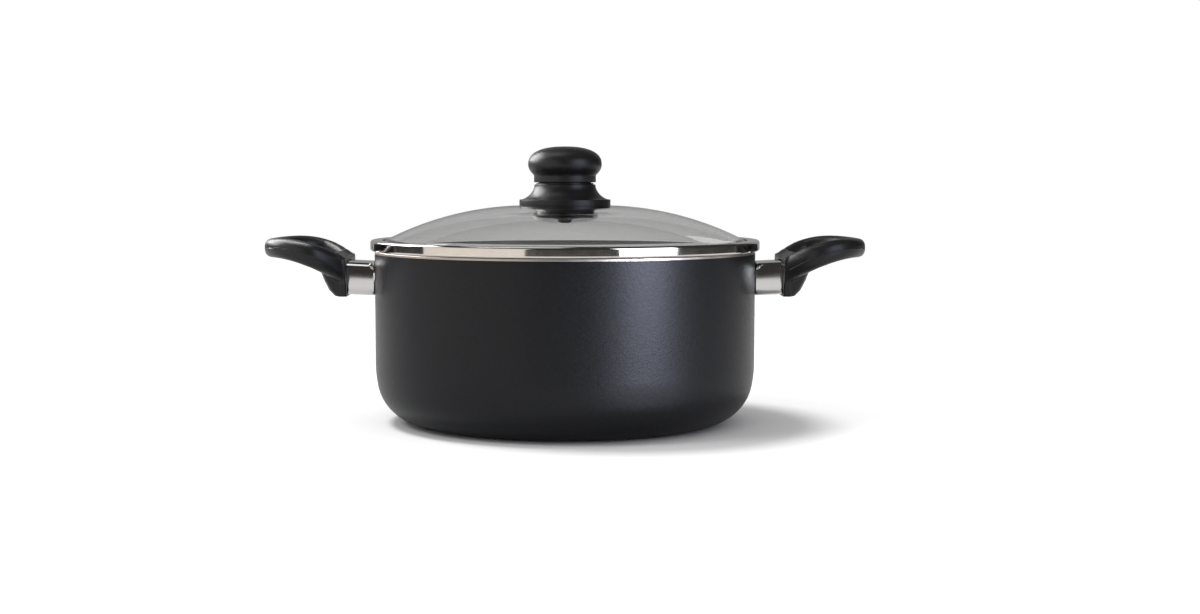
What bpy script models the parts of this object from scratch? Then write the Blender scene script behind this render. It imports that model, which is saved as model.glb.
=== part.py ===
"""Cooking pot with two side handles and a glass lid, modelled as its real pieces.

The pot stands on z = 0 with its axis on +Z, and the handles point along +X and -X.
Lengths below are millimetres; point() turns them into Blender's metres.
"""
import math

import bmesh
import bpy
from mathutils import Vector

MM = 0.001
GAP = 0.3                   # clearance kept between pieces that touch

# pot body, pressed and drawn from one aluminium disc
POT_RADIUS = 122.5          # outside, at the rim
POT_HEIGHT = 110.4
POT_WALL = 2.5
POT_FLOOR = 3.6
WALL_TAPER = math.radians(0.15)
CHEEK_RADIUS = 72.0         # long curve where the wall starts to turn in
CHEEK_ANGLE = math.radians(12.0)
CORNER_RADIUS = 29.5        # tight curve into the base

# glass lid
DOME_RADIUS = 200.0
DOME_FLAT = 24.0            # the dome's curve starts this far from the axis
DOME_TOP = 139.3
GLASS = 3.2
GLASS_RADIUS = 122.5
FLANGE_TOP = 116.5          # flat edge of the glass, held in the steel rim
SEAT_RADIUS = 30.4          # shallow seat for the knob
SEAT_TOP = 137.5
GLASS_HOLE = 5.0

# stainless rim, rolled from sheet round the edge of the glass
RIM_SHEET = 0.6
RIM_RADIUS = 124.85         # middle of the sheet
RIM_SEAT = 111.0            # middle of the sheet that rests on the pot
SKIRT_RADIUS = 118.1
SKIRT_END = 105.3

# knob
CAP_RADIUS = 23.75
CAP_MIDDLE = 165.6
CAP_TOP = 177.2
CAP_BOTTOM = 154.1
COLLAR_RADIUS = 20.0
BASE_TOP = 153.7
FLANGE_RADIUS = 29.4
FLANGE_EDGE_TOP = 143.1
FLARE_POWER = 1.7           # 2 would be an ellipse
BASE_BOTTOM = 137.8
SEAL_POCKET = 140.4         # roof of the ring-shaped pocket under the knob base
INSERT_RADIUS = 6.0
SCREW_THREAD = 2.4          # M5, for the knob and the handles
SCREW_HEAD = 4.5
UNDER_GLASS = SEAT_TOP - GLASS

# handles: distances from the pot's axis along X
STUD_HEIGHT = 92.3          # height of the handle screw
SLEEVE_HALF_HEIGHT = 10.9
SLEEVE_HALF_WIDTH = 18.5
SLEEVE_POWER = 4.6          # 2 would be an ellipse, more is closer to a rounded box
SLEEVE_SHEET = 0.8
SLEEVE_RISE = 0.9           # the sleeve climbs this much on its way out
SLEEVE_END = 141.2
HANDLE_FACE = 139.0
BLOCK_FOOT = 81.6           # underside of the handle's root block
POCKET_FLOOR = 141.6
SCREW_SEAT = 145.4
HANDLE_TIP = 187.8          # middle of the grip bar
ARM_SPREAD = 35.8
ARM_ROOT_SPREAD = 22.6
ARM_BULGE = 161.0           # where the arms are furthest apart
ARM_HALF_WIDTH = 5.7
ARM_CREST = 181.0           # where the arch of the grip is highest
ARM_CREST_HEIGHT = 112.6
ARM_DROOP = 0.0089          # how fast the arch falls towards the pot
ARM_TIP_HALF_HEIGHT = 6.0
ARM_EXTRA_HEIGHT = 2.3      # added to the half height at the root
ARM_TAPER_START = 144.0
ARM_TAPER_LENGTH = 44.0
BLOCK_HALF_WIDTH = 21.0     # at its foot; the flanks lean outwards
FLANK_LEAN = 0.24
BLOCK_PROFILE = ((146.4, 81.6), (150.0, 85.4), (153.2, 91.6), (155.6, 97.2), (152.0, 106.0),
                 (147.6, 109.4), (142.6, 106.6), (139.6, 103.4))
NOSE_SLICES = ((-1.0, 0.62), (-0.86, 0.84), (-0.5, 0.97), (0.0, 1.0),
               (0.5, 0.97), (0.86, 0.84), (1.0, 0.62))
SCREW_HOLE = 2.9            # radius of the clearance hole
SCREW_RECESS = 5.6          # radius of the recess for head and washer
SCREW_HEAD_HEIGHT = 3.0
WASHER_THICKNESS = 1.4
WASHER_RADIUS = 4.4
STUD_RADIUS = 5.0
STUD_END = 134.0

TURNS = 48                  # sides of the large turned pieces
KNOB_TURNS = 32
SMALL_TURNS = 16


def clear_scene():
    for item in list(bpy.data.objects):
        bpy.data.objects.remove(item, do_unlink=True)


def material(name, colour, roughness, metallic):
    made = bpy.data.materials.new(name)
    made.use_nodes = True
    shader = made.node_tree.nodes["Principled BSDF"]
    shader.inputs["Base Color"].default_value = (*colour, 1.0)
    shader.inputs["Roughness"].default_value = roughness
    shader.inputs["Metallic"].default_value = metallic
    made.diffuse_color = (*colour, 1.0)
    return made


def point(x, y, z):
    return Vector((x, y, z)) * MM


def arc(centre, radius, start, end, steps, squash=1.0):
    """Points on an arc in the (radius, height) plane; angles in degrees from +radius."""
    points = []
    for step in range(steps + 1):
        angle = math.radians(start + (end - start) * step / steps)
        points.append((centre[0] + radius * math.cos(angle),
                       centre[1] + radius * squash * math.sin(angle)))
    return points


def finish(mesh_data, name, finish_material, sharp=35.0):
    """Turn a bmesh into a named object with outward faces and smooth round stretches."""
    bmesh.ops.recalc_face_normals(mesh_data, faces=mesh_data.faces)
    mesh = bpy.data.meshes.new(name)
    mesh_data.to_mesh(mesh)
    mesh_data.free()
    mesh.materials.append(finish_material)
    mesh.shade_smooth()
    mesh.set_sharp_from_angle(angle=math.radians(sharp))
    made = bpy.data.objects.new(name, mesh)
    bpy.context.scene.collection.objects.link(made)
    return made


def bridge(mesh_data, rings):
    """Join neighbouring rings; a ring of one vertex is a pole."""
    for low, high in rings:
        count = max(len(low), len(high))
        for i in range(count):
            j = (i + 1) % count
            if len(low) == 1:
                mesh_data.faces.new((low[0], high[i], high[j]))
            elif len(high) == 1:
                mesh_data.faces.new((low[i], low[j], high[0]))
            else:
                mesh_data.faces.new((low[i], low[j], high[j], high[i]))


def turned(name, outline, finish_material, turns=TURNS, along_x=False, centre_z=0.0):
    """Solid of revolution from an outline of (radius, height) points.

    An outline that starts and ends on the axis is a solid; any other one is closed
    into a ring. along_x turns it round the line z = centre_z, parallel to X.
    """
    mesh_data = bmesh.new()
    rings = []
    for radius, height in outline:
        ring = []
        for i in range(turns if radius > 1e-6 else 1):
            angle = 2.0 * math.pi * i / turns
            across, up = radius * math.cos(angle), radius * math.sin(angle)
            if along_x:
                ring.append(mesh_data.verts.new(point(height, across, centre_z + up)))
            else:
                ring.append(mesh_data.verts.new(point(across, up, height)))
        rings.append(ring)
    pairs = list(zip(rings[:-1], rings[1:]))
    if len(rings[0]) > 1:
        pairs.append((rings[-1], rings[0]))
    bridge(mesh_data, pairs)
    return finish(mesh_data, name, finish_material)


def sheet(path, thickness):
    """Closed outline of a sheet of even thickness round its middle line."""
    left, right = [], []
    for i, (r, z) in enumerate(path):
        before = path[max(i - 1, 0)]
        after = path[min(i + 1, len(path) - 1)]
        run, rise = after[0] - before[0], after[1] - before[1]
        length = math.hypot(run, rise)
        off_r, off_z = -rise / length * thickness / 2, run / length * thickness / 2
        left.append((r + off_r, z + off_z))
        right.append((r - off_r, z - off_z))
    return left + right[::-1]


def washer(name, inner, outer, low, high, finish_material, turns=SMALL_TURNS, **place):
    outline = [(inner, low), (outer, low), (outer, high), (inner, high)]
    return turned(name, outline, finish_material, turns, **place)


# ---------------------------------------------------------------- pot body

def vessel_outline(rim_radius, base, top, cheek, corner):
    """Points from the middle of the base up to the rim, inside or outside of the pot."""
    cheek_height = cheek * (math.sin(CHEEK_ANGLE) - math.sin(WALL_TAPER))
    cheek_width = cheek * (math.cos(WALL_TAPER) - math.cos(CHEEK_ANGLE))
    corner_height = corner * (1.0 - math.sin(CHEEK_ANGLE))
    wall_height = top - base - cheek_height - corner_height
    wall_foot = rim_radius - wall_height * math.tan(WALL_TAPER)
    corner_top = wall_foot - cheek_width
    corner_middle = (corner_top - corner * math.cos(CHEEK_ANGLE), base + corner)
    cheek_middle = (wall_foot - cheek * math.cos(WALL_TAPER),
                    base + corner_height + cheek_height + cheek * math.sin(WALL_TAPER))
    points = [(0.0, base)]
    points += arc(corner_middle, corner, -90.0, -math.degrees(CHEEK_ANGLE), 7)
    points += arc(cheek_middle, cheek, -math.degrees(CHEEK_ANGLE),
                  -math.degrees(WALL_TAPER), 2)[1:]
    points.append((rim_radius, top))
    return points


def wall_radius(height):
    """Outside radius of the straight wall at a height."""
    return POT_RADIUS - (POT_HEIGHT - height) * math.tan(WALL_TAPER)


def pot_body(metal):
    edge = 0.7
    outside = vessel_outline(POT_RADIUS, 0.0, POT_HEIGHT, CHEEK_RADIUS, CORNER_RADIUS)
    inside = vessel_outline(POT_RADIUS - POT_WALL, POT_FLOOR, POT_HEIGHT,
                            CHEEK_RADIUS - POT_WALL, CORNER_RADIUS - POT_WALL)
    rim = [(POT_RADIUS, POT_HEIGHT - edge), (POT_RADIUS - edge, POT_HEIGHT),
           (POT_RADIUS - POT_WALL + edge, POT_HEIGHT), (POT_RADIUS - POT_WALL, POT_HEIGHT - edge)]
    return turned("pot_body", outside[:-1] + rim + inside[-2::-1], metal)


# ---------------------------------------------------------------- handles

def oval(half_width, half_height, count, power=SLEEVE_POWER):
    """Points (across, up) round a full oval."""
    points = []
    for i in range(count):
        angle = 2.0 * math.pi * i / count
        c, s = math.cos(angle), math.sin(angle)
        points.append((half_width * math.copysign(abs(c) ** (2.0 / power), c),
                       half_height * math.copysign(abs(s) ** (2.0 / power), s)))
    return points


def sleeve_ring(mesh_data, inset, side, at_wall):
    """One end of the sleeve; the end at the pot follows the round wall."""
    rise = 0.0 if at_wall else SLEEVE_RISE
    ring = []
    for across, up in oval(SLEEVE_HALF_WIDTH - inset, SLEEVE_HALF_HEIGHT - inset, 28):
        height = STUD_HEIGHT + up + rise
        out = SLEEVE_END
        if at_wall:
            out = math.sqrt((wall_radius(height) + GAP) ** 2 - across ** 2)
        ring.append(mesh_data.verts.new(point(side * out, across, height)))
    return ring


def flame_guard(name, side, steel):
    """Oval tube of sheet steel that keeps the flame off the handle's root."""
    mesh_data = bmesh.new()
    outer_wall = sleeve_ring(mesh_data, 0.0, side, True)
    outer_end = sleeve_ring(mesh_data, 0.0, side, False)
    inner_end = sleeve_ring(mesh_data, SLEEVE_SHEET, side, False)
    inner_wall = sleeve_ring(mesh_data, SLEEVE_SHEET, side, True)
    rings = [outer_wall, outer_end, inner_end, inner_wall, outer_wall]
    bridge(mesh_data, zip(rings[:-1], rings[1:]))
    return finish(mesh_data, name, steel)


def arm_middle(out):
    """Height of the middle of an arm at a distance from the pot's axis."""
    return ARM_CREST_HEIGHT - ARM_DROOP * (ARM_CREST - out) ** 2


def arm_half_height(out):
    """Half the height of the arm: tall at the root, slimmer from the middle to the tip."""
    along = min(max((out - ARM_TAPER_START) / ARM_TAPER_LENGTH, 0.0), 1.0)
    swell = max(math.cos(along * math.pi / 2.0), 0.0) ** 1.9
    return ARM_TIP_HALF_HEIGHT + ARM_EXTRA_HEIGHT * swell


def grip_path(steps):
    """Middle line of the grip seen from above: out, round the tip and back."""
    root, tip_share = HANDLE_FACE - 2.0, 0.58
    points = []
    for step in range(-steps, steps + 1):
        t = step / steps                   # -1 at one root, 0 at the tip, 1 at the other
        if abs(t) < tip_share:
            angle = t / tip_share * math.pi / 2.0
            out = ARM_BULGE + (HANDLE_TIP - ARM_BULGE) * math.cos(angle)
            across = ARM_SPREAD * math.sin(angle)
        else:
            back = (abs(t) - tip_share) / (1.0 - tip_share)
            out = ARM_BULGE - (ARM_BULGE - root) * back
            ease = back * back * (3.0 - 2.0 * back)
            across = math.copysign(ARM_SPREAD - (ARM_SPREAD - ARM_ROOT_SPREAD) * ease, t)
        points.append((out, across))
    return points


def grip_loop(name, side, phenolic):
    """The looped grip, as a swept bar with rounded sections and closed ends."""
    mesh_data = bmesh.new()
    path = grip_path(15)
    rings = []
    for i, (out, across) in enumerate(path):
        before, after = path[max(i - 1, 0)], path[min(i + 1, len(path) - 1)]
        run, drift = after[0] - before[0], after[1] - before[1]
        length = math.hypot(run, drift)
        ring = []
        for sideways, up in oval(ARM_HALF_WIDTH, arm_half_height(out), 14, 2.5):
            ring.append(mesh_data.verts.new(point(
                side * (out + sideways * drift / length),
                across - sideways * run / length,
                arm_middle(out) + up)))
        rings.append(ring)
    bridge(mesh_data, zip(rings[:-1], rings[1:]))
    mesh_data.faces.new(rings[0])
    mesh_data.faces.new(rings[-1])
    return finish(mesh_data, name, phenolic)


def root_block(name, side, phenolic):
    """The block behind the grip: flat towards the pot, a wedge with a rounded nose."""
    back = HANDLE_FACE - 1.0
    profile = [(back, BLOCK_FOOT), *BLOCK_PROFILE, (back, 100.0)]
    mesh_data = bmesh.new()
    rings = []
    for share, reach in NOSE_SLICES:
        ring = []
        for out, up in profile:
            across = share * (BLOCK_HALF_WIDTH + (up - BLOCK_FOOT) * FLANK_LEAN)
            ring.append(mesh_data.verts.new(point(
                side * (back + (out - back) * reach), across, up)))
        rings.append(ring)
    bridge(mesh_data, zip(rings[:-1], rings[1:]))
    mesh_data.faces.new(rings[0])
    mesh_data.faces.new(rings[-1])
    bmesh.ops.triangulate(mesh_data, faces=mesh_data.faces)
    return finish(mesh_data, name, phenolic)


def face_cutter(side):
    """Trims the block and the roots of the arms to one flat face towards the pot."""
    mesh_data = bmesh.new()
    ends = []
    for out in (HANDLE_FACE - 12.0, HANDLE_FACE):
        ends.append([mesh_data.verts.new(point(side * out, across, up))
                     for across, up in ((-40.0, 70.0), (40.0, 70.0), (40.0, 120.0), (-40.0, 120.0))])
    bridge(mesh_data, [tuple(ends)])
    mesh_data.faces.new(ends[0])
    mesh_data.faces.new(ends[1])
    return finish(mesh_data, "face_cutter", None)


def pocket_cutter(side):
    """Oval pocket that the end of the sleeve sits in."""
    mesh_data = bmesh.new()
    ends = []
    for out in (HANDLE_FACE - 3.0, POCKET_FLOOR):
        ends.append([mesh_data.verts.new(point(side * out, across, STUD_HEIGHT + SLEEVE_RISE + up))
                     for across, up in oval(SLEEVE_HALF_WIDTH + GAP, SLEEVE_HALF_HEIGHT + GAP, 28)])
    bridge(mesh_data, [tuple(ends)])
    mesh_data.faces.new(ends[0])
    mesh_data.faces.new(ends[1])
    return finish(mesh_data, "pocket_cutter", None)


def screw_cutter(side):
    """Screw hole through the block, with the wide recess for head and washer."""
    inner, outer = side * 135.0, side * 165.0
    seat = side * SCREW_SEAT
    outline = [(0.0, inner), (SCREW_HOLE, inner), (SCREW_HOLE, seat), (SCREW_RECESS, seat),
               (SCREW_RECESS, outer), (0.0, outer)]
    return turned("screw_cutter", outline, None, SMALL_TURNS, True, STUD_HEIGHT)


def combine(target, other, operation):
    """Apply one Boolean step to target, then drop the other object."""
    step = target.modifiers.new(operation.lower(), "BOOLEAN")
    step.operation = operation
    step.object = other
    step.solver = "EXACT"
    bpy.context.view_layer.update()
    graph = bpy.context.evaluated_depsgraph_get()
    result = bpy.data.meshes.new_from_object(target.evaluated_get(graph), depsgraph=graph)
    target.modifiers.remove(step)
    target.data = result
    bpy.data.objects.remove(other, do_unlink=True)


def handle(name, side, phenolic):
    made = root_block(name, side, phenolic)
    combine(made, grip_loop("grip", side, phenolic), "UNION")
    combine(made, face_cutter(side), "DIFFERENCE")
    combine(made, pocket_cutter(side), "DIFFERENCE")
    combine(made, screw_cutter(side), "DIFFERENCE")
    made.data.shade_smooth()
    made.data.set_sharp_from_angle(angle=math.radians(40.0))
    return made


def weld_stud(name, side, aluminium):
    """Threaded stud welded to the pot wall, inside the sleeve."""
    foot = wall_radius(STUD_HEIGHT) + GAP
    collar, bore = STUD_RADIUS + 2.0, SCREW_THREAD + GAP
    outline = [(0.0, foot), (collar, foot), (collar, foot + 2.0), (STUD_RADIUS, foot + 3.0),
               (STUD_RADIUS, STUD_END), (bore, STUD_END), (bore, STUD_END - 8.0),
               (0.0, STUD_END - 8.0)]
    return turned(name, [(r, side * out) for r, out in outline], aluminium, SMALL_TURNS,
                  True, STUD_HEIGHT)


def screw_outline(head_face, shank_end, head_height):
    """Pan-head screw: the head stands behind head_face, the shank runs to shank_end."""
    way = math.copysign(1.0, shank_end - head_face)
    back = head_face - way * head_height
    return [(0.0, shank_end), (SCREW_THREAD - 0.6, shank_end),
            (SCREW_THREAD, shank_end - way), (SCREW_THREAD, head_face),
            (SCREW_HEAD, head_face), (SCREW_HEAD, back + way * head_height * 0.4),
            (SCREW_HEAD * 0.75, back), (0.0, back)]


def handle_screw(name, side, steel):
    head_face = SCREW_SEAT + GAP + WASHER_THICKNESS + GAP
    outline = screw_outline(head_face, 127.0, SCREW_HEAD_HEIGHT)
    return turned(name, [(r, side * out) for r, out in outline], steel, SMALL_TURNS,
                  True, STUD_HEIGHT)


def handle_side(word, side, looks):
    weld_stud("weld_stud_" + word, side, looks["aluminium"])
    flame_guard("flame_guard_" + word, side, looks["chrome"])
    handle("handle_" + word, side, looks["phenolic"])
    handle_screw("handle_screw_" + word, side, looks["steel"])
    near = SCREW_SEAT + GAP
    washer("handle_washer_" + word, SCREW_THREAD + GAP, WASHER_RADIUS, side * near,
           side * (near + WASHER_THICKNESS), looks["steel"], along_x=True, centre_z=STUD_HEIGHT)


# ---------------------------------------------------------------- lid

def dome_height(radius, drop=0.0):
    """Outer face of the glass dome; drop gives a parallel face below it."""
    reach = radius - DOME_FLAT
    if reach <= 0.0:
        return DOME_TOP - drop
    return DOME_TOP - DOME_RADIUS + math.sqrt((DOME_RADIUS - drop) ** 2 - reach ** 2)


def lid_glass(glass):
    """Domed glass with a flat edge and a shallow seat for the knob."""
    top = [(GLASS_HOLE, SEAT_TOP), (SEAT_RADIUS, SEAT_TOP), (SEAT_RADIUS + 2.6, dome_height(33.0))]
    top += [(r, dome_height(r)) for r in (44.0, 58.0, 72.0, 85.0, 97.0, 107.0, 115.2)]
    top += [(118.2, FLANGE_TOP), (GLASS_RADIUS - 1.0, FLANGE_TOP)]
    edge = [(GLASS_RADIUS, FLANGE_TOP - 1.0), (GLASS_RADIUS, FLANGE_TOP - GLASS + 1.0)]
    under = [(GLASS_RADIUS - 1.0, FLANGE_TOP - GLASS), (116.6, FLANGE_TOP - GLASS)]
    under += [(r, dome_height(r, GLASS)) for r in (112.6, 105.0, 95.5, 84.0, 71.0, 57.5, 43.5)]
    under += [(SEAT_RADIUS + 3.0, UNDER_GLASS), (GLASS_HOLE, UNDER_GLASS)]
    return turned("lid_glass", top + edge + under, glass)


def lid_rim(steel):
    """Rolled steel rim: lip over the glass, outer bead, seat and folded locating skirt."""
    shoulder, curl = 1.7, 1.2
    lip = FLANGE_TOP + GAP + RIM_SHEET / 2
    path = [(117.4, lip)]
    path += arc((RIM_RADIUS - shoulder, lip - shoulder), shoulder, 90.0, 0.0, 3)
    path += arc((RIM_RADIUS - curl, RIM_SEAT + curl), curl, 0.0, -90.0, 3)
    path += [(SKIRT_RADIUS + 0.9, RIM_SEAT), (SKIRT_RADIUS, RIM_SEAT - 0.9)]
    path += arc((SKIRT_RADIUS - 0.55, SKIRT_END), 0.55, 0.0, -180.0, 2)
    path += [(SKIRT_RADIUS - 1.1, RIM_SEAT + 0.5)]
    return turned("lid_rim", sheet(path, RIM_SHEET), steel)


def rim_gasket(silicone):
    """Channel liner between the glass edge and the steel rim."""
    low = RIM_SEAT + RIM_SHEET / 2 + GAP
    high = FLANGE_TOP - GLASS - GAP
    outer = RIM_RADIUS - RIM_SHEET / 2 - GAP
    outline = [(SKIRT_RADIUS, low), (outer - 1.5, low), (outer, low + 1.5), (outer, 114.8),
               (GLASS_RADIUS + GAP, 114.8), (GLASS_RADIUS + GAP, high), (SKIRT_RADIUS, high)]
    return turned("rim_gasket", outline, silicone)


def knob_cap(phenolic):
    """Mushroom cap over a short collar, bored from below for the brass insert."""
    bore, bore_end, power = INSERT_RADIUS + GAP, 168.0, 2.4
    outline = [(0.0, CAP_TOP)]
    for step in range(1, 8):
        angle = math.radians(90.0 - 90.0 * step / 7)
        outline.append((CAP_RADIUS * math.cos(angle) ** (2.0 / power),
                        CAP_MIDDLE + (CAP_TOP - CAP_MIDDLE) * math.sin(angle) ** (2.0 / power)))
    outline[-1] = (CAP_RADIUS, CAP_MIDDLE)
    outline += arc((0.0, CAP_MIDDLE), CAP_RADIUS, 0.0, -31.5, 3, 12.6 / CAP_RADIUS)[1:]
    outline += [(COLLAR_RADIUS, CAP_BOTTOM + 0.4), (COLLAR_RADIUS - 0.4, CAP_BOTTOM),
                (bore, CAP_BOTTOM), (bore, bore_end), (0.0, bore_end)]
    return turned("knob_cap", outline, phenolic, KNOB_TURNS)


def knob_base(phenolic):
    """Flared skirt under the cap, with a ring-shaped pocket for the upper seal."""
    shoulder = BASE_TOP - 0.9
    flare_width, flare_height = FLANGE_RADIUS - 0.6 - 19.7, shoulder - FLANGE_EDGE_TOP
    outline = [(SCREW_THREAD + 0.8, BASE_TOP), (18.4, BASE_TOP), (18.4, shoulder), (19.7, shoulder)]
    for step in range(1, 7):
        angle = math.radians(90.0 * step / 6)
        outline.append((FLANGE_RADIUS - 0.6 - flare_width * math.cos(angle) ** (2.0 / FLARE_POWER),
                        shoulder - flare_height * math.sin(angle) ** (2.0 / FLARE_POWER)))
    outline += [(FLANGE_RADIUS, FLANGE_EDGE_TOP - 0.8), (FLANGE_RADIUS, BASE_BOTTOM + 0.5),
                (FLANGE_RADIUS - 0.5, BASE_BOTTOM), (20.6, BASE_BOTTOM),
                (20.6, SEAL_POCKET), (8.4, SEAL_POCKET), (8.4, BASE_BOTTOM),
                (SCREW_THREAD + 0.8, BASE_BOTTOM)]
    return turned("knob_base", outline, phenolic, KNOB_TURNS)


def knob_hardware(looks):
    """Insert, seals, washer and screw that clamp the knob through the glass."""
    bore = SCREW_THREAD + GAP
    washer("knob_insert", bore, INSERT_RADIUS, CAP_BOTTOM + 0.5, 167.0, looks["brass"])
    washer("knob_seal_upper", 8.8, 20.2, BASE_BOTTOM, SEAL_POCKET - 0.4, looks["silicone"],
           KNOB_TURNS)
    seal_top = UNDER_GLASS - GAP
    seal_low = seal_top - 1.2
    washer("knob_seal_lower", 3.4, 18.5, seal_low, seal_top, looks["rubber"], KNOB_TURNS)
    plate_top = seal_low - GAP
    plate_low = plate_top - 0.8
    washer("knob_washer", bore, 7.5, plate_low, plate_top, looks["steel"])
    turned("knob_screw", screw_outline(plate_low - GAP, 164.0, 2.8), looks["steel"], SMALL_TURNS)


def main():
    clear_scene()
    looks = {
        "coating": material("dark_coating", (0.018, 0.019, 0.021), 0.5, 0.2),
        "aluminium": material("bare_aluminium", (0.75, 0.75, 0.76), 0.35, 1.0),
        "chrome": material("polished_steel", (0.78, 0.77, 0.75), 0.08, 1.0),
        "rim": material("bright_rim", (0.75, 0.73, 0.70), 0.06, 1.0),
        "phenolic": material("black_phenolic", (0.012, 0.012, 0.013), 0.32, 0.0),
        "steel": material("zinc_steel", (0.45, 0.45, 0.46), 0.3, 1.0),
        "brass": material("brass", (0.70, 0.50, 0.20), 0.3, 1.0),
        "glass": material("lid_glass", (0.72, 0.74, 0.74), 0.02, 0.0),
        "silicone": material("grey_silicone", (0.35, 0.35, 0.35), 0.5, 0.0),
        "rubber": material("black_silicone", (0.02, 0.02, 0.02), 0.5, 0.0),
    }
    pot_body(looks["coating"])
    for word, side in (("left", -1), ("right", 1)):
        handle_side(word, side, looks)
    lid_glass(looks["glass"])
    lid_rim(looks["rim"])
    rim_gasket(looks["silicone"])
    knob_cap(looks["phenolic"])
    knob_base(looks["phenolic"])
    knob_hardware(looks)


main()
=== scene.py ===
import math

import bmesh
import bpy
import numpy as np
from mathutils import Matrix, Vector


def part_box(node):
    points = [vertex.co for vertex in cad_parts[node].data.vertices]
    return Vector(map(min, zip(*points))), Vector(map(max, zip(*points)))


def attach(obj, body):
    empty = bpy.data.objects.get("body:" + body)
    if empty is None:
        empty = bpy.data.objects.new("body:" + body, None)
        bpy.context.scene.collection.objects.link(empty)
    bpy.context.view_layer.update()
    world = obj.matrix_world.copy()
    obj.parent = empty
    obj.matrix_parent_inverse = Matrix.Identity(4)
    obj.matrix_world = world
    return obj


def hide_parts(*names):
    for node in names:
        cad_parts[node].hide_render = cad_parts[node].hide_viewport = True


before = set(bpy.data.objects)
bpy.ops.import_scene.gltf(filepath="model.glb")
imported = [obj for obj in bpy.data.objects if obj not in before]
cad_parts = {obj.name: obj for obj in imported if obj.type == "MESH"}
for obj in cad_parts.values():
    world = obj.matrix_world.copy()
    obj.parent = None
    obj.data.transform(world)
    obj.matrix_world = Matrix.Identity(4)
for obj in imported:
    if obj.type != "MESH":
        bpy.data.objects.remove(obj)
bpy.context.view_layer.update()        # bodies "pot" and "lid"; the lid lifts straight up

# Lengths are millimetres until they reach a mesh, and MM turns them into metres.
# The axis of the pot and of the lid is Z, and the handles point along +X and -X.
MM = 0.001
GAP = 0.3                       # clearance between pieces that touch
SIDES = (("left", -1), ("right", 1))


def size_of(node):
    """(lowest, highest) corner of a CAD node in millimetres."""
    low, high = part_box(node)
    return low / MM, high / MM


POT_HIGH = size_of("pot_body")[1]
GLASS_HIGH = size_of("lid_glass")[1]
RIM_HIGH = size_of("lid_rim")[1]
CAP_LOW, CAP_HIGH = size_of("knob_cap")
BASE_LOW, BASE_HIGH = size_of("knob_base")
HANDLE_LOW, HANDLE_HIGH = size_of("handle_right")
SLEEVE_LOW, SLEEVE_HIGH = size_of("flame_guard_right")
BOLT_LOW, BOLT_HIGH = size_of("handle_screw_right")
WASHER_LOW, WASHER_HIGH = size_of("handle_washer_right")

# pot
POT_RADIUS = POT_HIGH.x
POT_HEIGHT = POT_HIGH.z
WALL = 2.5
FLOOR = 3.6
TAPER = math.radians(0.15)
CHEEK_RADIUS = 72.0
CHEEK_ANGLE = math.radians(12.0)
CORNER_RADIUS = 29.5
BARE_EDGE = 1.5                 # height of the uncoated, machined edge of the rim

# lid
GLASS = 3.2
DOME_RADIUS = 200.0
DOME_FLAT = 24.0
DOME_TOP = 139.3                # height the dome would reach without the knob seat
SEAT_RADIUS = 30.4
SEAT_TOP = 137.5
EDGE_TOP = 116.5                # upper face of the flat edge of the glass
GLASS_HOLE = 5.0                # radius of the hole for the knob screw
SPIGOT = 17.0                   # radius of the spigot that centres cap on skirt
KNOB_BORE = 6.3                 # radius of the bore that holds the brass insert
KNOB_HEAD = 2.8                 # height of the knob screw's head

# screws
SHANK_RADIUS = 2.4
HEAD_RADIUS = 4.5

# handles
SCREW_SEAT = WASHER_LOW.x - GAP
BOLT_HEIGHT = (BOLT_LOW.z + BOLT_HIGH.z) / 2.0
FACE = HANDLE_LOW.x             # flat face towards the pot
TIP = HANDLE_HIGH.x
FOOT = HANDLE_LOW.z


# ------------------------------------------------------------------ shapes

def arc(centre, radius, start, end, steps, squash=1.0):
    """Points on an arc in the (radius, height) plane; angles in degrees from +radius."""
    points = []
    for step in range(steps + 1):
        angle = math.radians(start + (end - start) * step / steps)
        points.append((centre[0] + radius * math.cos(angle),
                       centre[1] + radius * squash * math.sin(angle)))
    return points


def rounded(corners, steps=6):
    """Polyline through (x, y, fillet) corners, each turned into an arc of its fillet."""
    points = []
    for i, (x, y, fillet) in enumerate(corners):
        here = Vector((x, y))
        if fillet <= 0.0 or i in (0, len(corners) - 1):
            points.append((x, y))
            continue
        back = (Vector(corners[i - 1][:2]) - here).normalized()
        ahead = (Vector(corners[i + 1][:2]) - here).normalized()
        half = math.acos(max(-1.0, min(1.0, back.dot(ahead)))) / 2.0
        centre = here + (back + ahead).normalized() * (fillet / math.sin(half))
        reach = fillet / math.tan(half)
        first, last = here + back * reach - centre, here + ahead * reach - centre
        turn = first.angle_signed(last)
        for step in range(steps + 1):
            spoke = Matrix.Rotation(-turn * step / steps, 2) @ first
            points.append(tuple(centre + spoke))
    return points


def to_object(name, mesh_data, materials, sharp):
    bmesh.ops.recalc_face_normals(mesh_data, faces=mesh_data.faces)
    mesh = bpy.data.meshes.new(name)
    mesh_data.to_mesh(mesh)
    mesh_data.free()
    for each in materials:
        mesh.materials.append(each)
    mesh.shade_smooth()
    mesh.set_sharp_from_angle(angle=math.radians(sharp))
    made = bpy.data.objects.new(name, mesh)
    bpy.context.scene.collection.objects.link(made)
    return made


def piece(name, mesh_data, materials, body, nodes, sharp=35.0):
    """A finished piece: it rides on its body and stands for its CAD nodes."""
    made = to_object(name, mesh_data, materials, sharp)
    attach(made, body)
    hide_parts(*nodes)
    return made


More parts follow.
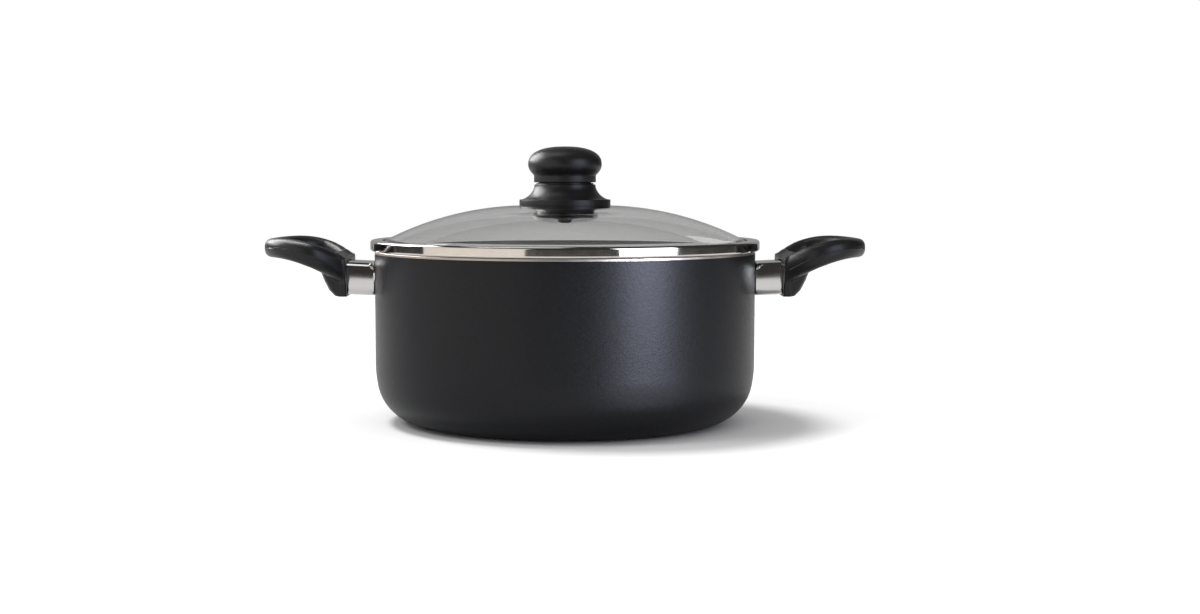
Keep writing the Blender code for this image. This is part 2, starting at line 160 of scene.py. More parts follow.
def spin(mesh_data, bands, turns, frame_of=None):
    """Turn bands of (radius, height) points into a skin; each band has its own material.

    frame_of maps (across, up, height) to a place; without it the axis is Z.
    """
    place = frame_of or (lambda across, up, height: (across, up, height))
    last = None
    first = None
    for index, points in enumerate(bands):
        for radius, height in points:
            ring = []
            for i in range(turns if radius > 1e-6 else 1):
                angle = 2.0 * math.pi * i / turns
                spot = place(radius * math.cos(angle), radius * math.sin(angle), height)
                ring.append(mesh_data.verts.new(Vector(spot) * MM))
            if last is not None:
                join(mesh_data, last, ring, index)
            first = first or ring
            last = ring
    if len(first) > 1:
        join(mesh_data, last, first, len(bands) - 1)


def join(mesh_data, low, high, index=0):
    """Faces between two rings; a ring of one vertex is a pole."""
    count = max(len(low), len(high))
    for i in range(count):
        j = (i + 1) % count
        if len(low) == 1:
            corners = (low[0], high[i], high[j])
        elif len(high) == 1:
            corners = (low[i], low[j], high[0])
        else:
            corners = (low[i], low[j], high[j], high[i])
        mesh_data.faces.new(corners).material_index = index


def along_x(side, height):
    """Frame for pieces turned round a line parallel to X."""
    return lambda across, up, out: (side * out, across, height + up)


def sheet(path, thickness):
    """Closed outline of a sheet of even thickness round its middle line."""
    left, right = [], []
    for i, (r, z) in enumerate(path):
        before, after = path[max(i - 1, 0)], path[min(i + 1, len(path) - 1)]
        run, rise = after[0] - before[0], after[1] - before[1]
        length = math.hypot(run, rise)
        off_r, off_z = -rise / length * thickness / 2, run / length * thickness / 2
        left.append((r + off_r, z + off_z))
        right.append((r - off_r, z - off_z))
    return left + right[::-1]


# ------------------------------------------------------------------ materials

def node(tree, kind, inputs=None, **settings):
    """Add a node, set its properties, and fill or link its inputs."""
    made = tree.nodes.new(kind)
    for key, value in settings.items():
        setattr(made, key, value)
    for key, value in (inputs or {}).items():
        if isinstance(value, bpy.types.NodeSocket):
            tree.links.new(value, made.inputs[key])
        else:
            made.inputs[key].default_value = value
    return made


def grey(r, g, b):
    return (r, g, b, 1.0)


def noise(tree, where, size, detail=2.0, roughness=0.5):
    """Noise whose features are about size millimetres across."""
    return node(tree, "ShaderNodeTexNoise", {
        "Vector": where, "Scale": 1.0 / (size * MM), "Detail": detail,
        "Roughness": roughness}).outputs[0]


def rings(tree, where, pitch, direction="Z", kind="RINGS", wobble=0.6):
    """Turning marks: rings round Z, or bands along a direction, pitch millimetres apart."""
    names = {"RINGS": "rings_direction", "BANDS": "bands_direction"}
    settings = {"wave_type": kind, names[kind]: direction}
    return node(tree, "ShaderNodeTexWave", {
        "Vector": where, "Scale": 2.0 * math.pi / (20.0 * pitch * MM),
        "Distortion": wobble, "Detail": 2.0, "Detail Scale": 0.4}, **settings).outputs[1]


def spread(tree, value, low, high):
    """Map 0..1 to low..high."""
    return node(tree, "ShaderNodeMapRange", {
        "Value": value, "To Min": low, "To Max": high}).outputs[0]


def blend_colours(tree, factor, first, second):
    """Mix two colours, or colour sockets, by a factor."""
    factor_in, colour_a, colour_b, colour_out = 0, 6, 7, 2
    return node(tree, "ShaderNodeMix", {factor_in: factor, colour_a: first, colour_b: second},
                data_type="RGBA").outputs[colour_out]


def bumps(tree, layers):
    """Stack bump nodes from (height, depth in millimetres, strength) layers."""
    normal = None
    for height, depth, strength in layers:
        inputs = {"Height": height, "Distance": depth * MM, "Strength": strength}
        if normal is not None:
            inputs["Normal"] = normal
        normal = node(tree, "ShaderNodeBump", inputs).outputs[0]
    return normal


def finish_material(name, paint, fixed):
    """Principled material; paint(tree, where) returns the sockets that feed it."""
    made = bpy.data.materials.new(name)
    made.use_nodes = True
    tree = made.node_tree
    shader = tree.nodes["Principled BSDF"]
    for key, value in fixed.items():
        shader.inputs[key].default_value = value
    where = node(tree, "ShaderNodeTexCoord").outputs["Object"]
    for key, socket in paint(tree, where).items():
        tree.links.new(socket, shader.inputs[key])
    return made


def coating_outside(tree, where):
    """Sprayed satin coating: a fine grain, stretched a little along the pot's turning."""
    cloud = noise(tree, where, 30.0, 3.0)
    along = node(tree, "ShaderNodeMapping", {
        "Vector": where, "Scale": (0.9, 0.9, 1.3)}).outputs[0]
    grain = noise(tree, along, 2.0, 3.0, 0.75)
    flakes = noise(tree, along, 1.3, 2.0, 0.7)
    return {"Base Color": blend_colours(tree, flakes, grey(0.0046, 0.0050, 0.0064),
                                        grey(0.0118, 0.0122, 0.0146)),
            "Roughness": spread(tree, flakes, 0.22, 0.46),
            "Normal": bumps(tree, [(cloud, 0.12, 0.4), (grain, 0.11, 0.7)])}


def coating_inside(tree, where):
    cloud = noise(tree, where, 18.0, 3.0)
    grain = noise(tree, where, 0.5, 2.0)
    turning = rings(tree, where, 1.1)
    return {"Base Color": blend_colours(tree, cloud, grey(0.018, 0.018, 0.019),
                                        grey(0.026, 0.026, 0.027)),
            "Roughness": spread(tree, cloud, 0.28, 0.40),
            "Normal": bumps(tree, [(turning, 0.012, 0.4), (grain, 0.012, 0.5)])}


def bare_edge(tree, where):
    stain = noise(tree, where, 9.0, 3.0)
    turning = rings(tree, where, 0.22)
    return {"Base Color": blend_colours(tree, stain, grey(0.36, 0.31, 0.26),
                                        grey(0.55, 0.50, 0.45)),
            "Roughness": spread(tree, stain, 0.28, 0.42),
            "Normal": bumps(tree, [(turning, 0.01, 0.5)])}


def base_metal(tree, where):
    stain = noise(tree, where, 22.0, 4.0)
    turning = rings(tree, where, 0.9, wobble=0.2)
    return {"Base Color": blend_colours(tree, stain, grey(0.60, 0.60, 0.61),
                                        grey(0.74, 0.74, 0.75)),
            "Roughness": spread(tree, stain, 0.30, 0.44),
            "Normal": bumps(tree, [(turning, 0.03, 0.6)])}


def stud_metal(tree, where):
    stain = noise(tree, where, 4.0, 3.0)
    turning = rings(tree, where, 0.4, "X", "BANDS")
    return {"Base Color": blend_colours(tree, stain, grey(0.58, 0.58, 0.60),
                                        grey(0.72, 0.72, 0.73)),
            "Roughness": spread(tree, stain, 0.30, 0.48),
            "Normal": bumps(tree, [(turning, 0.02, 0.5)])}


def polished_steel(tree, where):
    haze = noise(tree, where, 7.0, 3.0)
    lines = noise(tree, node(tree, "ShaderNodeMapping", {
        "Vector": where, "Scale": (1.0, 0.04, 1.0)}).outputs[0], 0.25, 1.0)
    return {"Base Color": blend_colours(tree, haze, grey(0.66, 0.64, 0.62),
                                        grey(0.74, 0.73, 0.71)),
            "Roughness": spread(tree, haze, 0.05, 0.13),
            "Normal": bumps(tree, [(lines, 0.003, 0.35)])}


def rim_steel(tree, where):
    haze = noise(tree, where, 12.0, 3.0)
    rolled = rings(tree, where, 0.35, "Z", "BANDS", 0.3)
    return {"Base Color": blend_colours(tree, haze, grey(0.66, 0.63, 0.59),
                                        grey(0.74, 0.72, 0.69)),
            "Roughness": spread(tree, haze, 0.04, 0.10),
            "Normal": bumps(tree, [(haze, 0.02, 0.3), (rolled, 0.0015, 0.25)])}


def phenolic(tree, where):
    cloud = noise(tree, where, 8.0, 3.0)
    grain = noise(tree, where, 0.35, 2.0)
    return {"Base Color": blend_colours(tree, cloud, grey(0.0085, 0.0085, 0.0095),
                                        grey(0.0125, 0.0125, 0.0135)),
            "Roughness": spread(tree, cloud, 0.33, 0.40),
            "Normal": bumps(tree, [(grain, 0.006, 0.5)])}


def handle_phenolic(tree, where):
    """As on the knob, with the fine mould line that runs round the grip."""
    sockets = phenolic(tree, where)
    seam = node(tree, "ShaderNodeAttribute", attribute_name="seam").outputs["Fac"]
    grain = noise(tree, where, 0.35, 2.0)
    sockets["Normal"] = bumps(tree, [(grain, 0.006, 0.5), (seam, 0.25, 1.0)])
    return sockets


def zinc(tree, where):
    patches = node(tree, "ShaderNodeTexVoronoi", {"Vector": where, "Scale": 900.0}).outputs[0]
    cloud = noise(tree, where, 2.5, 3.0)
    return {"Base Color": blend_colours(tree, cloud, grey(0.42, 0.42, 0.43),
                                        grey(0.58, 0.58, 0.60)),
            "Roughness": spread(tree, cloud, 0.24, 0.38),
            "Normal": bumps(tree, [(patches, 0.01, 0.3)])}


def brass(tree, where):
    stain = noise(tree, where, 3.0, 3.0)
    turning = rings(tree, where, 0.3, "Z", "BANDS")
    return {"Base Color": blend_colours(tree, stain, grey(0.52, 0.34, 0.12),
                                        grey(0.66, 0.46, 0.18)),
            "Roughness": spread(tree, stain, 0.24, 0.40),
            "Normal": bumps(tree, [(turning, 0.01, 0.4)])}


def clear_glass(tree, where):
    wave = noise(tree, where, 45.0, 1.0)
    return {"Normal": bumps(tree, [(wave, 0.05, 0.25)]),
            "Roughness": spread(tree, noise(tree, where, 14.0, 3.0), 0.0, 0.012)}


def grey_silicone(tree, where):
    cloud = noise(tree, where, 5.0, 3.0)
    return {"Base Color": blend_colours(tree, cloud, grey(0.26, 0.26, 0.26),
                                        grey(0.34, 0.34, 0.34)),
            "Roughness": spread(tree, cloud, 0.42, 0.58),
            "Normal": bumps(tree, [(noise(tree, where, 0.4), 0.01, 0.5)])}


def black_silicone(tree, where):
    cloud = noise(tree, where, 4.0, 3.0)
    return {"Base Color": blend_colours(tree, cloud, grey(0.050, 0.050, 0.052),
                                        grey(0.075, 0.075, 0.078)),
            "Roughness": spread(tree, cloud, 0.44, 0.58),
            "Normal": bumps(tree, [(noise(tree, where, 0.3), 0.01, 0.5)])}


METAL = {"Metallic": 1.0}
LOOKS = {
    "outside": finish_material("coating_outside", coating_outside, {"Specular IOR Level": 0.22}),
    "inside": finish_material("coating_inside", coating_inside, {}),
    "edge": finish_material("bare_edge", bare_edge, METAL),
    "base": finish_material("base_metal", base_metal, METAL),
    "stud": finish_material("stud_metal", stud_metal, METAL),
    "chrome": finish_material("polished_steel", polished_steel, METAL),
    "rim": finish_material("rim_steel", rim_steel, METAL),
    "phenolic": finish_material("phenolic", phenolic, {"Specular IOR Level": 0.38}),
    "handle": finish_material("handle_phenolic", handle_phenolic, {"Specular IOR Level": 0.34}),
    "zinc": finish_material("zinc", zinc, METAL),
    "brass": finish_material("brass", brass, METAL),
    "glass": finish_material("clear_glass", clear_glass, {
        "Base Color": grey(0.97, 0.97, 0.965), "Transmission Weight": 1.0, "IOR": 1.5}),
    "silicone": finish_material("grey_silicone", grey_silicone, {}),
    "rubber": finish_material("black_silicone", black_silicone, {}),
}


# ------------------------------------------------------------------ pot

def vessel(rim_radius, base, top, cheek, corner):
    """Points from the edge of the flat base up to the rim."""
    cheek_height = cheek * (math.sin(CHEEK_ANGLE) - math.sin(TAPER))
    cheek_width = cheek * (math.cos(TAPER) - math.cos(CHEEK_ANGLE))
    corner_height = corner * (1.0 - math.sin(CHEEK_ANGLE))
    wall_foot = rim_radius - (top - base - cheek_height - corner_height) * math.tan(TAPER)
    corner_top = wall_foot - cheek_width
    corner_middle = (corner_top - corner * math.cos(CHEEK_ANGLE), base + corner)
    cheek_middle = (wall_foot - cheek * math.cos(TAPER),
                    base + corner_height + cheek_height + cheek * math.sin(TAPER))
    points = arc(corner_middle, corner, -90.0, -math.degrees(CHEEK_ANGLE), 22)
    points += arc(cheek_middle, cheek, -math.degrees(CHEEK_ANGLE), -math.degrees(TAPER), 8)[1:]
    return points


def pot():
    """Coated vessel with a machined bare rim edge and a turned, ringed base."""
    outside = vessel(POT_RADIUS, 0.0, POT_HEIGHT, CHEEK_RADIUS, CORNER_RADIUS)
    inside = vessel(POT_RADIUS - WALL, FLOOR, POT_HEIGHT, CHEEK_RADIUS - WALL,
                    CORNER_RADIUS - WALL)
    foot = outside[0][0]
    base = [(0.0, 0.6), (10.0, 0.6), (10.4, 0.2)]
    groove = 0.5
    for radius in np.arange(16.0, foot - 8.0, 6.0):
        base += [(radius, 0.2), (radius + 0.4, groove), (radius + 1.4, groove),
                 (radius + 1.8, 0.2)]
    base += [(foot - 3.4, 0.2), (foot - 3.0, 0.0), (foot - 1.0, 0.0)]
    bare = POT_HEIGHT - BARE_EDGE
    lip = POT_RADIUS - 0.02
    wall_top = [(POT_RADIUS - BARE_EDGE * math.tan(TAPER), bare)]
    edge = rounded([(lip - 0.14, bare, 0), (lip - 0.10, POT_HEIGHT, 0.5),
                    (lip - WALL + 0.1, POT_HEIGHT, 0.5), (lip - WALL, bare, 0)], 5)
    bands = [base, outside + wall_top, edge, inside[::-1] + [(0.0, FLOOR)]]
    mesh_data = bmesh.new()
    spin(mesh_data, bands, 240)
    piece("pot_vessel", mesh_data, [LOOKS["base"], LOOKS["outside"], LOOKS["edge"],
                                    LOOKS["inside"]], "pot", ["pot_body"])


# ------------------------------------------------------------------ handles

def wall_radius(height):
    return POT_RADIUS - (POT_HEIGHT - height) * math.tan(TAPER)


def oval(half_width, half_height, count, power):
    """Points (across, up) round a full oval."""
    points = []
    for i in range(count):
        angle = 2.0 * math.pi * i / count
        c, s = math.cos(angle), math.sin(angle)
        points.append((half_width * math.copysign(abs(c) ** (2.0 / power), c),
                       half_height * math.copysign(abs(s) ** (2.0 / power), s)))
    return points


SLEEVE_POWER = 4.6
SLEEVE_RISE = 0.9
SLEEVE_HALF_WIDTH = SLEEVE_HIGH.y
SLEEVE_HALF_HEIGHT = (SLEEVE_HIGH.z - SLEEVE_LOW.z - SLEEVE_RISE) / 2.0
SLEEVE_END = SLEEVE_HIGH.x
POCKET_FLOOR = SLEEVE_END + 0.4


def flame_guard(word, side):
    """Oval tube of polished sheet with rounded ends, cut to the round wall."""
    mesh_data = bmesh.new()
    loops = []
    outline = [(0.0, 0.8), (0.0, 0.35), (0.012, 0.1), (0.03, 0.0), (0.35, 0.0), (0.7, 0.0),
               (0.97, 0.0), (0.988, 0.1), (1.0, 0.35), (1.0, 0.8), (0.5, 0.8)]
    for share, inset in outline:
        ring = []
        for across, up in oval(SLEEVE_HALF_WIDTH - inset, SLEEVE_HALF_HEIGHT - inset, 96,
                               SLEEVE_POWER):
            height = BOLT_HEIGHT + up + SLEEVE_RISE * share
            start = math.sqrt((wall_radius(height) + GAP) ** 2 - across ** 2)
            out = start + (SLEEVE_END - start) * share
            ring.append(mesh_data.verts.new(Vector((side * out, across, height)) * MM))
        loops.append(ring)
    for low, high in zip(loops, loops[1:] + loops[:1]):
        join(mesh_data, low, high)
    piece("sleeve_" + word, mesh_data, [LOOKS["chrome"]], "pot", ["flame_guard_" + word],
          50.0)


def soft_least(a, b, blend):
    """Smooth minimum: two shapes joined with a fillet of about the blend."""
    share = np.clip(0.5 + 0.5 * (b - a) / blend, 0.0, 1.0)
    return b + (a - b) * share - blend * share * (1.0 - share)


def soft_most(a, b, blend):
    return -soft_least(-a, -b, blend)


ARM_HALF_WIDTH = 5.7
ARM_POWER = 2.5                 # how square the arm's section is
ARM_CREST = 181.0               # where the arm is highest, out from the pot's axis
ARM_CREST_HEIGHT = 112.6
ARM_DROOP = 0.0089              # fall of the arm with the square of the way from its crest
ARM_SLIM_FROM, ARM_SLIM_OVER = 144.0, 44.0
ARM_TIP_HALF, ARM_ROOT_EXTRA = 6.0, 2.3
ARM_SPREAD = 35.8               # across to the middle of an arm at its widest
ARM_ROOT_SPREAD = 22.6          # and at its root
ARM_BULGE = 161.0               # where the arms are widest
GRIP = TIP - ARM_HALF_WIDTH     # reach of the grip's middle line

NOSE_SWEEP = 3.4                # how far the block's nose falls back at its flanks
BLOCK_BACK = FACE - 3.0         # past the face, which trims the block
BLOCK_PROFILE = [(BLOCK_BACK, FOOT), (148.0, FOOT), (151.5, 85.4), (154.5, 91.6),
                 (156.5, 97.2), (152.0, 106.0), (147.6, 109.4), (142.6, 106.6),
                 (139.6, 103.4), (BLOCK_BACK, 100.0)]
COLLAR_TOP = 106.8
SCREW_HOLE = 2.9                # radii of the screw's hole and of the recess for its head
SCREW_RECESS = 5.6


def arm_middle(out):
    """Height of the middle of an arm at a distance from the pot's axis."""
    return ARM_CREST_HEIGHT - ARM_DROOP * (ARM_CREST - out) ** 2


def arm_half_height(out):
    """Half the height of an arm: tall at the root, slimmer from the middle to the tip."""
    along = np.clip((out - ARM_SLIM_FROM) / ARM_SLIM_OVER, 0.0, 1.0)
    return ARM_TIP_HALF + ARM_ROOT_EXTRA * np.cos(along * math.pi / 2.0) ** 1.9


def grip_line():
    """Middle line of half the grip from above: from the tip round to one root."""
    angles = np.linspace(0.0, math.pi / 2.0, 140)
    outs = list(ARM_BULGE + (GRIP - ARM_BULGE) * np.cos(angles))
    spreads = list(ARM_SPREAD * np.sin(angles))
    back = np.linspace(0.0, 1.15, 90)[1:]
    root = FACE - 2.0
    outs += list(ARM_BULGE - (ARM_BULGE - root) * back)
    ease = np.clip(back, 0.0, 1.0) ** 2 * (3.0 - 2.0 * np.clip(back, 0.0, 1.0))
    spreads += list(ARM_SPREAD - (ARM_SPREAD - ARM_ROOT_SPREAD) * ease)
    return np.array(outs), np.array(spreads)


def polygon_distance(x, z, corners):
    """Signed distance in the XZ plane to a polygon, negative inside."""
    least = np.full(np.broadcast(x, z).shape, 1e9)
    inside = np.zeros(least.shape, bool)
    for (ax, az), (bx, bz) in zip(corners, corners[1:] + corners[:1]):
        ex, ez = bx - ax, bz - az
        share = np.clip(((x - ax) * ex + (z - az) * ez) / (ex * ex + ez * ez), 0.0, 1.0)
        least = np.minimum(least, np.hypot(x - ax - share * ex, z - az - share * ez))
        crosses = (az > z) != (bz > z)
        inside ^= crosses & (x < ex * (z - az) / (ez if ez else 1e-9) + ax)
    return np.where(inside, -least, least)


def grip_field(x, y, z):
    """The looped grip, pinched a little where it meets the face."""
    outs, spreads = grip_line()
    gap = np.hypot(x[..., 0, None] - outs, np.abs(y[..., 0, None]) - spreads)
    nearest = gap.argmin(axis=-1)
    side_reach = gap.min(axis=-1)[..., None]
    out = outs[nearest][..., None]
    pinch = 1.0 - 0.13 * np.clip((FACE + 7.0 - x) / 6.0, 0.0, 1.0) ** 2
    half_width = ARM_HALF_WIDTH * pinch
    tall = arm_half_height(out) * (0.5 + 0.5 * pinch)
    grip = ((side_reach / half_width) ** ARM_POWER
            + (np.abs(z - arm_middle(out)) / tall) ** ARM_POWER) ** (1.0 / ARM_POWER)
    return (grip - 1.0) * half_width


def block_field(x, y, z):
    """The root block: a wedge whose nose falls back at its leaning flanks."""
    edge = 20.6 + (z - FOOT) * 0.24
    lean = np.clip(np.abs(y) / edge, 0.0, 1.1)
    wedge = polygon_distance(x + NOSE_SWEEP * lean ** 4, z, BLOCK_PROFILE)
    flank = np.abs(y) - edge
    return soft_most(wedge, flank, 2.4)


def collar_field(x, y, z):
    """The plate that frames the end of the flame guard."""
    collar_end = FACE + 3.4 + 0.012 * (z - 94.0) ** 2
    collar_side = np.abs(y) - (21.0 + (z - FOOT) * 0.33)
    collar = soft_most(x - collar_end, collar_side, 1.0)
    collar = soft_most(collar, z - COLLAR_TOP - (np.abs(y) - 22.0) * 0.06, 5.0)
    return soft_most(collar, FOOT - z, 0.8)


def pocket_field(x, y, up):
    """The oval pocket that takes the end of the flame guard."""
    pocket = ((np.abs(y) / (SLEEVE_HALF_WIDTH + GAP)) ** SLEEVE_POWER
              + (np.abs(up - SLEEVE_RISE) / (SLEEVE_HALF_HEIGHT + GAP)) ** SLEEVE_POWER)
    pocket = (pocket ** (1.0 / SLEEVE_POWER) - 1.0) * SLEEVE_HALF_HEIGHT
    return np.maximum(pocket, x - POCKET_FLOOR)


def handle_field(x, y, z):
    """Signed field of the right handle, negative inside: a looped grip on a root block."""
    made = soft_least(grip_field(x, y, z), block_field(x, y, z), 2.2)
    made = soft_least(made, collar_field(x, y, z), 1.0)
    made = np.maximum(made, FACE - x)
    up = z - BOLT_HEIGHT
    made = np.maximum(made, -pocket_field(x, y, up))
    bore = np.hypot(y, up)
    made = np.maximum(made, SCREW_HOLE - bore)
    counterbore = np.maximum(bore - SCREW_RECESS, SCREW_SEAT - x)
    return np.maximum(made, -counterbore)


def surface_net(field, low, step):
    """Vertices and quads on the zero level of a field sampled on a grid."""
    cells = tuple(n - 1 for n in field.shape)
    total = np.zeros(cells + (3,))
    hits = np.zeros(cells)
    quads = []
    number = np.arange(np.prod(cells)).reshape(cells)
    for axis in range(3):
        near = [slice(None)] * 3
        far = [slice(None)] * 3
        near[axis], far[axis] = slice(None, -1), slice(1, None)
        a, b = field[tuple(near)], field[tuple(far)]
        spots = np.argwhere((a < 0.0) != (b < 0.0))
        i = tuple(spots.T)
        place = spots.astype(float)
        place[:, axis] += a[i] / (a[i] - b[i])
        first, second = [k for k in range(3) if k != axis]
        around = []
        for back_1, back_2 in ((1, 1), (0, 1), (0, 0), (1, 0)):
            cell = spots.copy()
            cell[:, first] -= back_1
            cell[:, second] -= back_2
            index = tuple(cell.T)
            np.add.at(total, index, place)
            np.add.at(hits, index, 1.0)
            around.append(number[index])
        around = np.stack(around, axis=1)
        flip = (a[i] < 0.0) == (axis == 1)
        around[flip] = around[flip][:, ::-1]
        quads.append(around)
    quads = np.concatenate(quads)
    used = np.unique(quads)
    verts = total.reshape(-1, 3)[used] / hits.reshape(-1)[used][:, None]
    return low + verts * step, np.searchsorted(used, quads)


def settle(verts, field, low, step, rounds=3):
    """Move vertices on to the zero level along the field's slope."""
    slope = np.stack(np.gradient(field, step), axis=-1)
    top = np.array(field.shape) - 1.001
    for _ in range(rounds):
        spot = np.clip((verts - low) / step, 0.0, top)
        cell = np.floor(spot).astype(int)
        part = spot - cell
        value, lean = 0.0, 0.0
        for corner in range(8):
            shift = np.array([(corner >> k) & 1 for k in range(3)])
            weight = np.prod(np.where(shift, part, 1.0 - part), axis=1)
            index = tuple((cell + shift).T)
            value = value + weight * field[index]
            lean = lean + weight[:, None] * slope[index]
        square = np.maximum((lean ** 2).sum(axis=1), 0.05)
        verts = verts - np.clip(value / square, -step, step)[:, None] * lean * 0.8
    return verts


def handle_shape():
    """Vertices and quads of the right handle."""
    step = 0.6
    low = np.array([FACE - 2.0, -44.0, FOOT - 2.0])
    high = np.array([TIP + 2.0, 44.0, HANDLE_HIGH.z + 3.0])
    axes = [np.arange(low[k], high[k] + step, step) for k in range(3)]
    x, y, z = np.meshgrid(*axes, indexing="ij")
    field = handle_field(x, y, z)
    verts, quads = surface_net(field, low, step)
    return settle(verts, field, low, step), quads


def handle(word, side, verts, quads):
    """Moulded handle, with the distance from its mould line kept as an attribute."""
    mesh = bpy.data.meshes.new("grip_" + word)
    placed = verts * (side, 1.0, 1.0)
    order = quads if side > 0 else quads[:, ::-1]
    mesh.from_pydata((placed * MM).tolist(), [], order.tolist())
    seam = mesh.attributes.new("seam", "FLOAT", "POINT")
    away = np.abs(verts[:, 2] - arm_middle(verts[:, 0]))
    raised = np.clip(1.0 - away / 0.45, 0.0, 1.0) * (verts[:, 0] > FACE + 3.0)
    seam.data.foreach_set("value", raised.astype(np.float32))
    mesh.materials.append(LOOKS["handle"])
    mesh.shade_smooth()
    made = bpy.data.objects.new("grip_" + word, mesh)
    bpy.context.scene.collection.objects.link(made)
    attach(made, "pot")
    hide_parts("handle_" + word)


# ------------------------------------------------------------------ fasteners

def pan_head_screw(name, shank, head, height, face, end, frame_of, body, nodes):
    """Pan-head screw with a rolled thread and a cross recess; face is under the head."""
    way = math.copysign(1.0, end - face)
    pitch, depth = 0.8, 0.35
    brim = 0.42                 # share of the head's height that is its straight edge
    crown = [(0.0, face - way * height)]
    crown += [(head * math.sin(math.radians(a)),
               face - way * height * (brim + (1.0 - brim) * math.cos(math.radians(a))))
              for a in range(15, 91, 15)]
    crown += [(head, face - way * 0.15), (head - 0.15, face), (shank, face)]
    thread = []
    spot = face + way * 1.0
    while abs(spot - end) > pitch:
        thread += [(shank, spot), (shank - depth, spot + way * pitch * 0.45),
                   (shank, spot + way * pitch * 0.9)]
        spot += way * pitch
    tip = [(shank - depth, end - way * 0.3), (shank - depth - 0.4, end), (0.0, end)]
    mesh_data = bmesh.new()
    spin(mesh_data, [crown + thread + tip], 32, frame_of)
    made = piece(name, mesh_data, [LOOKS["zinc"]], body, nodes, 30.0)
    cut_cross(made, head, face - way * height, way, frame_of)


def cut_cross(screw, head, top, way, frame_of):
    """Tapered cross recess in the crown of a screw."""
    mesh_data = bmesh.new()
    length, width = head * 0.58, head * 0.17
    for turn in (0, 1):
        ends = []
        for level, share in ((top - way * 0.3, 1.0), (top + way * 1.4, 0.55)):
            corners = ((-length, -width), (length, -width), (length, width), (-length, width))
            ring = []
            for a, b in corners:
                across, up = (a * share, b * share) if turn == 0 else (-b * share, a * share)
                ring.append(mesh_data.verts.new(Vector(frame_of(across, up, level)) * MM))
            ends.append(ring)
        join(mesh_data, ends[0], ends[1])
        mesh_data.faces.new(ends[0])
        mesh_data.faces.new(ends[1])
    cutter = to_object("cross", mesh_data, [LOOKS["zinc"]], 30.0)
    cut = screw.modifiers.new("recess", "BOOLEAN")
    cut.operation, cut.object, cut.solver = "DIFFERENCE", cutter, "EXACT"
    cut.use_self = True
    bpy.context.view_layer.update()
    graph = bpy.context.evaluated_depsgraph_get()
    result = bpy.data.meshes.new_from_object(screw.evaluated_get(graph), depsgraph=graph)
    screw.modifiers.remove(cut)
    screw.data = result
    bpy.data.objects.remove(cutter, do_unlink=True)


def spring_washer(name, inner, outer, low, high, frame_of, body, nodes):
    """Split lock washer: a coil of one turn with a slanted gap."""
    steps, gap_angle = 60, 12.0
    mesh_data = bmesh.new()
    rings_made = []
    thick = (high - low) * 0.78
    for i in range(steps + 1):
        angle = math.radians(gap_angle / 2 + (360.0 - gap_angle) * i / steps)
        foot = low + (high - low - thick) * i / steps
        corners = rounded([(inner, foot + thick / 2, 0), (inner, foot, 0.1), (outer, foot, 0.1),
                           (outer, foot + thick, 0.1), (inner, foot + thick, 0.1),
                           (inner, foot + thick / 2, 0)], 1)[:-1]
        rings_made.append([mesh_data.verts.new(Vector(frame_of(
            r * math.cos(angle), r * math.sin(angle), h)) * MM) for r, h in corners])
    for a, b in zip(rings_made[:-1], rings_made[1:]):
        join(mesh_data, a, b)
    mesh_data.faces.new(rings_made[0])
    mesh_data.faces.new(rings_made[-1])
    piece(name, mesh_data, [LOOKS["zinc"]], body, nodes)


# ------------------------------------------------------------------ lid

def dome(radius, drop=0.0):
    """Outer face of the glass dome; drop gives a parallel face below it."""
    reach = radius - DOME_FLAT
    if reach <= 0.0:
        return DOME_TOP - drop
    return DOME_TOP - DOME_RADIUS + math.sqrt((DOME_RADIUS - drop) ** 2 - reach ** 2)


def lid_glass():
    """Dome with a flat knob seat, a hole and a flat, rounded edge."""
    under = SEAT_TOP - GLASS
    bevel = 0.3                # chamfer round the hole
    top = [(GLASS_HOLE, SEAT_TOP - bevel), (GLASS_HOLE + bevel, SEAT_TOP),
           (SEAT_RADIUS, SEAT_TOP),
           (SEAT_RADIUS + 1.4, SEAT_TOP + 0.45)]
    top += [(r, dome(r)) for r in np.linspace(33.4, 115.2, 40)]
    top += rounded([(116.4, dome(115.2) - 0.9, 0), (118.4, EDGE_TOP, 2.0),
                    (GLASS_HIGH.x, EDGE_TOP, 1.4), (GLASS_HIGH.x, EDGE_TOP - GLASS, 1.4),
                    (116.2, EDGE_TOP - GLASS, 3.0), (113.6, dome(113.6, GLASS), 0)], 6)
    top += [(r, dome(r, GLASS)) for r in np.linspace(112.6, 35.0, 38)]
    top += [(SEAT_RADIUS + 2.0, under + 0.2), (SEAT_RADIUS, under),
            (GLASS_HOLE + bevel, under), (GLASS_HOLE, under + bevel)]
    mesh_data = bmesh.new()
    spin(mesh_data, [top], 240)
    piece("lid_dome", mesh_data, [LOOKS["glass"]], "lid", ["lid_glass"], 50.0)


def lid_rim():
    """Rolled rim: lip over the glass, outer bead, seat and folded skirt."""
    steel, shoulder, curl, brace = 0.6, 1.3, 0.8, 0.2
    outer = RIM_HIGH.x - steel / 2
    lip = RIM_HIGH.z - steel / 2
    seat, skirt, end = 111.0, 118.1, 105.3
    path = [(117.5, lip - 0.1), (118.6, lip)]
    path += arc((outer - shoulder, lip - shoulder), shoulder, 90.0, 0.0, 12)
    path += [(outer, lip - shoulder - brace), (outer, seat + curl + brace)]
    path += arc((outer - curl, seat + curl), curl, 0.0, -90.0, 10)
    path += rounded([(outer - curl - 0.5, seat, 0), (skirt, seat, 1.0), (skirt, end, 0)], 6)[1:]
    fold = 0.55                 # radius of the skirt's folded edge
    path += arc((skirt - fold, end), fold, 0.0, -180.0, 8)[1:]
    path += [(skirt - 1.1, seat + 0.3)]
    mesh_data = bmesh.new()
    spin(mesh_data, [sheet(path, steel)], 240)
    piece("lid_band", mesh_data, [LOOKS["rim"]], "lid", ["lid_rim"], 50.0)


